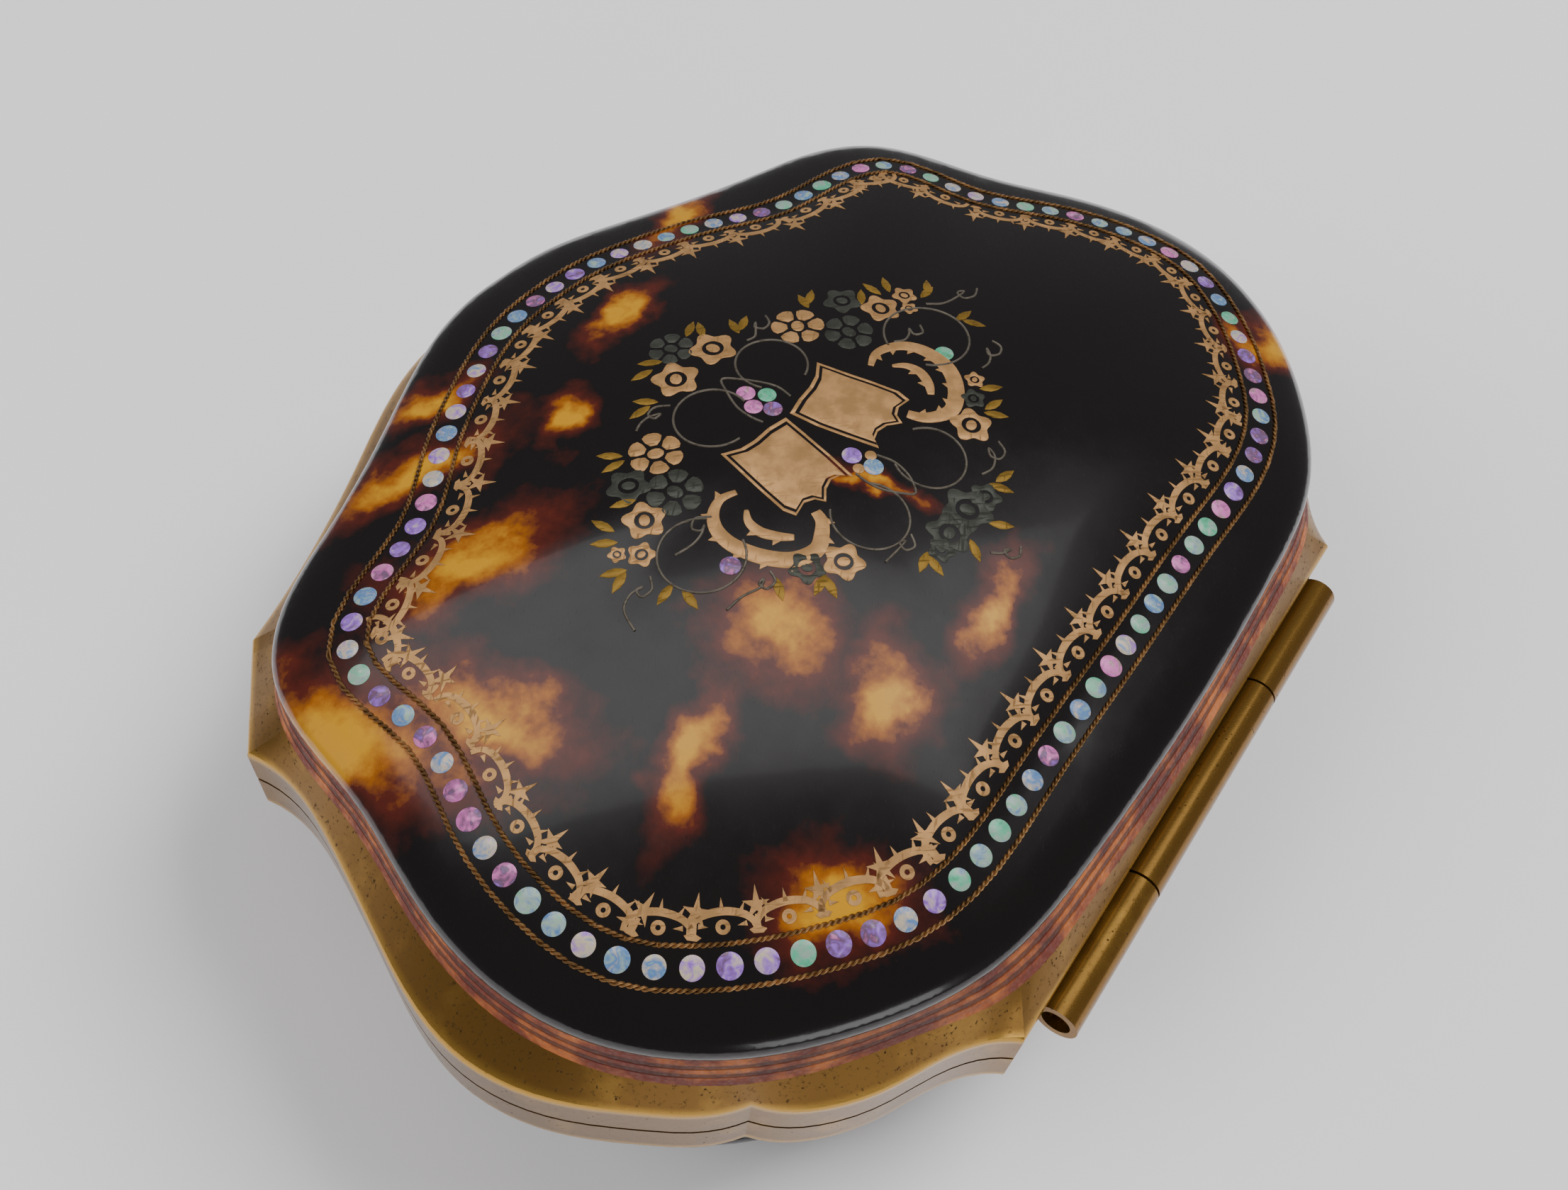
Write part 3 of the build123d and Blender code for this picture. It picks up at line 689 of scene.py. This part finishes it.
class TRINKET_OT_pearls(bpy.types.Operator):
    """Set the pearl discs of the border and of the spray."""

    bl_idname = "trinket.pearls"
    bl_label = "Pearl discs"

    def execute(self, context):
        sizes = context.scene.trinket_sizes
        chance = random.Random(7)
        paint = pearl_paint()
        radius = sizes.pearl / MM
        border = [
            (x, y, radius * chance.uniform(0.93, 1.05), chance.random()) for x, y in pearl_places()
        ]
        for name, row in (("pearl_dots", border), ("spray_pearls", SPRAY_PEARLS)):
            places = [(x, y, chance.uniform(0, 6), size) for x, y, size, _ in row]
            discs = copies(plate(oval(1, 1, PEARL_SIDES)), places)
            for disc, (*_, tint) in zip(discs, row):
                mark(disc, "tint", tint)
            piece = join(discs, name + ".visual")
            settle(piece, sizes.proud, edge=PEARL_EDGE)
            finish(piece, paint, "pearl", name)
        return {"FINISHED"}


class TRINKET_OT_ropes(bpy.types.Operator):
    """Twist the two gold wires beside the pearls."""

    bl_idname = "trinket.ropes"
    bl_label = "Twisted wires"

    def execute(self, context):
        sizes = context.scene.trinket_sizes
        colours = context.scene.trinket_colours
        paint = Paint("wire_gold", metallic=1.0)
        patina = paint.noise(0.6, detail=4.0)
        dull = tuple(0.42 * v for v in colours.gold)
        paint.feed("Base Color", paint.mix(patina.step(0.35, 0.7), dull, tuple(colours.gold)))
        paint.feed("Roughness", 0.26 + patina * 0.25)
        line = closed_line(pearl_places(), ROPE_STEPS)
        for name, side in (("rope_outer", 1), ("rope_inner", -1)):
            strands = []
            for start in (0, math.pi):
                points = []
                for i, (place, out) in enumerate(line):
                    turn = start + ROPE_TWISTS * math.tau * i / len(line)
                    reach = side * sizes.wire_gap / MM + math.cos(turn) * sizes.wire * ROPE_LAY / MM
                    x, y = place + out * reach
                    lift = math.sin(turn) * sizes.wire * ROPE_LAY
                    points.append((x * MM, y * MM, dome_height(x, y) + lift))
                strands.append(wire(points, sizes.wire, closed=True))
            piece = join(strands, name + ".visual")
            finish(piece, paint, "wire_gold", name)
        return {"FINISHED"}


def engraved(name, light, dark, chased=0.35):
    """Metal inlay with chased lines, darker in the cuts."""
    paint = Paint(name, metallic=0.7)
    cloud = paint.noise(0.8, detail=4.0)
    cuts = paint.noise(1.0, detail=1.0, where=paint.stretched((0.22, 1.5, 1.0), turn=(0, 0, 0.8)))
    crossing = paint.noise(1.0, detail=1.0, where=paint.stretched((1.4, 0.22, 1.0), turn=(0, 0, 0.5)))
    marks = cuts.step(0.58, 0.66).most(crossing.step(0.62, 0.7))
    tone = paint.mix(cloud.step(0.35, 0.7), tuple(0.7 * v for v in light), light)
    paint.feed("Base Color", paint.mix(marks * chased, tone, dark))
    paint.feed("Roughness", 0.24 + cloud * 0.2 + marks * 0.25)
    paint.bump(cloud * 0.3 - marks * chased, 0.04, 0.5)
    return paint


class TRINKET_OT_lace(bpy.types.Operator):
    """Lay the pierced gold lace inside the pearls."""

    bl_idname = "trinket.lace"
    bl_label = "Lace border"

    def execute(self, context):
        sizes = context.scene.trinket_sizes
        start = sizes.lace_start / MM
        arch = [
            (-2.1, 0.1), (-1.95, 0.75), (-1.45, 1.2), (-0.75, 1.42), (0.0, 1.5), (0.75, 1.42), (1.45, 1.2),
            (1.95, 0.75), (2.1, 0.1),
        ]
        bow = smooth(arch, 3)
        last = len(bow) - 1
        parts = [plate(strip(bow, [0.34 + 0.16 * math.sin(k / last * math.pi) for k in range(len(bow))]))]
        points = (
            (-1.1, 1.3, -0.35, 0.75), (0.0, 1.5, 0.0, 0.85), (1.1, 1.3, 0.35, 0.75), (-1.5, 0.7, 0.6, -0.1),
            (1.5, 0.7, -0.6, -0.1),
        )
        for x, y, dx, dy in points:
            side = Vector((dy, -dx)).normalized() * 0.17
            parts.append(plate([(x - side.x, y - side.y), (x + side.x, y + side.y), (x + dx, y + dy)]))
        star = []
        for k in range(10):
            reach = (1.25, 0.9, 1.05, 1.05, 0.9)[k // 2] if k % 2 == 0 else 0.34
            angle = math.pi / 2 + k * math.tau / 10
            star.append((2.15 + math.cos(angle) * reach, 1.75 + math.sin(angle) * reach))
        parts.append(plate(star))
        foot = [
            (1.6, 0.3), (1.85, 0.05), (2.45, 0.05), (2.7, 0.3), (2.35, 0.45), (2.28, 1.2), (2.02, 1.2),
            (1.95, 0.45),
        ]
        parts.append(plate(foot))
        button = ring(0.46, 0.17)
        button.location = (0, 0.55 * MM, 0)
        parts.append(button)
        motif = join(parts, "motif")
        far, smaller = LACE_ENDS
        places = []
        for place, out in closed_line(pearl_places(), LACE_MOTIFS * LACE_STEPS)[::LACE_STEPS]:
            x, y = place - out * start
            turn = math.atan2(-out.y, -out.x) - math.pi / 2
            places.append((x, y, turn, smaller if abs(x) > far else 1.0))
        piece = join(copies(motif, places), "lace_border.visual")
        settle(piece, sizes.proud, edge=0.0)
        gold = tuple(context.scene.trinket_colours.gold)
        finish(piece, engraved("lace_gold", gold, linear(60, 44, 26)), "inlay_gold", "lace_border")
        return {"FINISHED"}


def turned(points, angle, size):
    """Points turned about the origin and made bigger."""
    across, up = math.cos(angle) * size, math.sin(angle) * size
    return [(x * across - y * up, x * up + y * across) for x, y in points]


def lobe(petals):
    """Outline of one lobe of a flower cut from a single sheet, for a radius of 1."""
    half = math.pi / petals
    rim = []
    for k in range(9):
        angle = half * (k / 4 - 1)
        reach = 0.86 + 0.14 * math.cos(angle * petals)
        rim.append((reach * math.cos(angle), reach * math.sin(angle)))
    inner = [(0.44 * math.cos(half * t), 0.44 * math.sin(half * t)) for t in (1, 0.5, 0, -0.5, -1)]
    return rim + inner


def petal(petals):
    """Outline of one separate petal, for a radius of 1."""
    wide = math.tan(math.pi / petals) * 0.93
    half = [(0.38, 0.12), (0.58, wide * 0.52), (0.8, wide * 0.66), (0.93, wide * 0.45), (0.98, 0.1)]
    return half + [(x, -y) for x, y in reversed(half)]


def flower(radius, petals, turn):
    """Flower in plan, in mm: six petals are cut apart, five are one sheet."""
    outline = petal(petals) if petals == 6 else lobe(petals)
    parts = [plate(turned(outline, turn + k * math.tau / petals, radius)) for k in range(petals)]
    parts.append(plate(turned(oval(0.3, 0.24, MIDDLE_SIDES), turn * 3, radius)))
    bloom = join(parts, "flower")
    bpy.ops.object.mode_set(mode="EDIT")
    bpy.ops.mesh.select_all(action="SELECT")
    bpy.ops.mesh.remove_doubles(threshold=0.000002)
    bpy.ops.object.mode_set(mode="OBJECT")
    return bloom


class TRINKET_OT_flowers(bpy.types.Operator):
    """Lay the gold and the grey flowers."""

    bl_idname = "trinket.flowers"
    bl_label = "Flowers"

    def execute(self, context):
        sizes = context.scene.trinket_sizes
        colours = context.scene.trinket_colours
        chance = random.Random(3)
        gold = engraved("inlay_gold", tuple(colours.gold), linear(70, 50, 30))
        pewter = engraved("inlay_pewter", tuple(colours.pewter), linear(40, 36, 32))
        for name, row, paint, slot in (
            ("gold_flowers", GOLD_FLOWERS, gold, "inlay_gold"),
            ("grey_flowers", GREY_FLOWERS, pewter, "inlay_pewter"),
        ):
            made = []
            for x, y, radius, petals in row:
                bloom = flower(radius, petals, chance.uniform(0, 1))
                made += copies(bloom, [(x, y, 0, 1.0)])
            if name == "gold_flowers":
                for x, y, radius in GOLD_DOTS:
                    made += copies(plate(oval(radius, radius, DOT_SIDES)), [(x, y, 0, 1.0)])
            piece = join(made, name + ".visual")
            settle(piece, sizes.proud)
            finish(piece, paint, slot, name)
        return {"FINISHED"}


class TRINKET_OT_leaves(bpy.types.Operator):
    """Lay the leaves round the spray."""

    bl_idname = "trinket.leaves"
    bl_label = "Leaves"

    def execute(self, context):
        sizes = context.scene.trinket_sizes
        blade = [
            (-0.85, 0.0), (-0.55, 0.2), (-0.1, 0.33), (0.35, 0.28), (0.7, 0.12), (0.95, 0.0), (0.7, -0.12),
            (0.35, -0.28), (-0.1, -0.33), (-0.55, -0.2),
        ]
        made = copies(plate(blade), [(x, y, math.radians(turn), 1.05) for x, y, turn in LEAVES])
        piece = join(made, "gold_leaves.visual")
        settle(piece, sizes.proud)
        paint = engraved("leaf_gold", linear(164, 128, 56), linear(50, 38, 18))
        finish(piece, paint, "inlay_gold", "gold_leaves")
        return {"FINISHED"}


class TRINKET_OT_shields(bpy.types.Operator):
    """Lay the two shields and the scrolls beside them."""

    bl_idname = "trinket.shields"
    bl_label = "Shields and scrolls"

    def execute(self, context):
        sizes = context.scene.trinket_sizes
        colours = context.scene.trinket_colours
        gold = engraved("shield_gold", tuple(colours.gold), linear(90, 62, 38), 0.08)
        for name, outline in SHIELDS.items():
            middle = sum((Vector(point) for point in outline), Vector((0, 0))) / len(outline)
            inside = [tuple(middle + (Vector(point) - middle) * 0.86) for point in outline]
            edge = [tuple(middle + (Vector(point) - middle) * 0.93) for point in outline]
            border = []
            count = len(outline)
            for k in range(count):
                a, b = outline[k], outline[(k + 1) % count]
                c, d = edge[(k + 1) % count], edge[k]
                border.append(plate([a, b, c, d]))
            piece = join([plate(inside, 2)] + border, name + ".visual")
            settle(piece, sizes.proud)
            finish(piece, gold, "inlay_gold", name)
        for name, curves in SCROLL_CURVES.items():
            parts = []
            for k, curve in enumerate(curves):
                line = smooth(curve, 4)
                last = len(line) - 1
                widest = 1.25 if k == 0 else 0.8
                widths = [
                    widest * (0.35 + 0.65 * math.sin(math.pi * min(1, 0.12 + 0.88 * i / last)))
                    for i in range(last + 1)
                ]
                parts.append(plate(strip(line, widths)))
                for i in range(4, last - 2, 5):
                    x, y = line[i]
                    along = (Vector(line[i + 1]) - Vector(line[i - 1])).normalized()
                    out = Vector((-along.y, along.x))
                    root = Vector((x, y)) + out * widths[i] * 0.4
                    tip = root + out * 0.5 + along * 0.25
                    side = along * 0.3
                    parts.append(plate([tuple(root - side), tuple(root + side), tuple(tip)]))
            piece = join(parts, name + ".visual")
            settle(piece, sizes.proud)
            finish(piece, gold, "inlay_gold", name)
        return {"FINISHED"}


class TRINKET_OT_tendrils(bpy.types.Operator):
    """Lay the silver wires of the spray."""

    bl_idname = "trinket.tendrils"
    bl_label = "Tendrils"

    def execute(self, context):
        sizes = context.scene.trinket_sizes
        lines = [smooth(line, 5) for line in WIRE_LINES]
        for x, y, radius, start, end in WIRE_RINGS:
            angles = [math.radians(start + (end - start) * k / 36) for k in range(37)]
            lines.append([(x + math.cos(a) * radius, y + math.sin(a) * radius) for a in angles])
        made = []
        for line in lines:
            points = [(x * MM, y * MM, dome_height(x, y)) for x, y in line]
            made.append(wire(points, sizes.tendril / 2))
        piece = join(made, "silver_tendrils.visual")
        paint = engraved("silver_wire", linear(124, 116, 104), linear(60, 54, 46))
        finish(piece, paint, "inlay_pewter", "silver_tendrils")
        return {"FINISHED"}


class TRINKET_OT_stage(bpy.types.Operator):
    """Set the ground, the lights and the camera."""

    bl_idname = "trinket.stage"
    bl_label = "Stage"

    def execute(self, context):
        colours = context.scene.trinket_colours
        deselect()
        bpy.ops.mesh.primitive_plane_add(size=6, location=(0, 0, -0.00005))
        ground = context.object
        ground.name = "ground"
        paint = Paint("ground", roughness=0.9)
        paint.shader.inputs["Base Color"].default_value = (*colours.ground, 1)
        ground.data.materials.append(paint.material)
        world = bpy.data.worlds.new("studio")
        world.use_nodes = True
        world.node_tree.nodes["Background"].inputs["Color"].default_value = (0.86, 0.87, 0.9, 1)
        world.node_tree.nodes["Background"].inputs["Strength"].default_value = 0.2
        context.scene.world = world
        for name, place, size, power, seen in (
            ("sky", (-0.17, -0.12, 0.62), (0.85, 0.22), 0.75, True),
            ("key", (-0.5, 0.3, 0.8), (0.5, 0.5), 13.0, False),
            ("fill", (0.6, -0.4, 0.6), (0.6, 0.6), 8.0, False),
            ("back", (0.35, 0.75, 0.35), (0.5, 0.3), 1.2, True),
        ):
            bpy.ops.object.light_add(type="AREA", location=place)
            lamp = context.object
            lamp.name = name
            lamp.data.shape = "RECTANGLE"
            lamp.data.size, lamp.data.size_y = size
            lamp.data.energy = power
            lamp.visible_glossy = seen
            lamp.rotation_euler = Vector(place).to_track_quat("Z", "Y").to_euler()
        bpy.ops.object.camera_add()
        camera = context.object
        camera.data.lens = 33.18
        camera.data.sensor_width = 36
        camera.data.clip_start = 0.01
        camera.matrix_world = Matrix((
            (-0.57460, -0.63917, 0.51117, 0.059905),
            (0.81499, -0.50408, 0.28581, 0.032512),
            (0.07499, 0.58083, 0.81057, 0.10358),
            (0, 0, 0, 1),
        ))
        context.scene.camera = camera
        return {"FINISHED"}


OPERATORS = (
    TRINKET_OT_covers, TRINKET_OT_rims, TRINKET_OT_leather, TRINKET_OT_pearls, TRINKET_OT_ropes,
    TRINKET_OT_lace, TRINKET_OT_shields, TRINKET_OT_flowers, TRINKET_OT_leaves, TRINKET_OT_tendrils, TRINKET_OT_stage,
)


class TRINKET_PT_panel(bpy.types.Panel):
    """The box's steps and its sizes and colours."""

    bl_idname = "TRINKET_PT_panel"
    bl_label = "Trinket box"
    bl_space_type = "VIEW_3D"
    bl_region_type = "UI"
    bl_category = "Trinket box"

    def draw(self, context):
        for group in (context.scene.trinket_sizes, context.scene.trinket_colours):
            box = self.layout.box()
            for name in group.bl_rna.properties.keys():
                if name not in {"rna_type", "name"}:
                    box.prop(group, name)
        for operator in OPERATORS:
            self.layout.operator(operator.bl_idname)


CLASSES = (TRINKET_PG_sizes, TRINKET_PG_colours, *OPERATORS, TRINKET_PT_panel)


def register():
    for item in CLASSES:
        bpy.utils.register_class(item)
    bpy.types.Scene.trinket_sizes = bpy.props.PointerProperty(type=TRINKET_PG_sizes)
    bpy.types.Scene.trinket_colours = bpy.props.PointerProperty(type=TRINKET_PG_colours)


def unregister():
    del bpy.types.Scene.trinket_colours
    del bpy.types.Scene.trinket_sizes
    for item in reversed(CLASSES):
        bpy.utils.unregister_class(item)


def main():
    """Make the whole box."""
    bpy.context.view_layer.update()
    register()
    bpy.ops.trinket.covers()
    bpy.ops.trinket.rims()
    bpy.ops.trinket.leather()
    bpy.ops.trinket.pearls()
    bpy.ops.trinket.ropes()
    bpy.ops.trinket.lace()
    bpy.ops.trinket.shields()
    bpy.ops.trinket.flowers()
    bpy.ops.trinket.leaves()
    bpy.ops.trinket.tendrils()
    bpy.ops.trinket.stage()


if __name__ == "__main__":
    main()
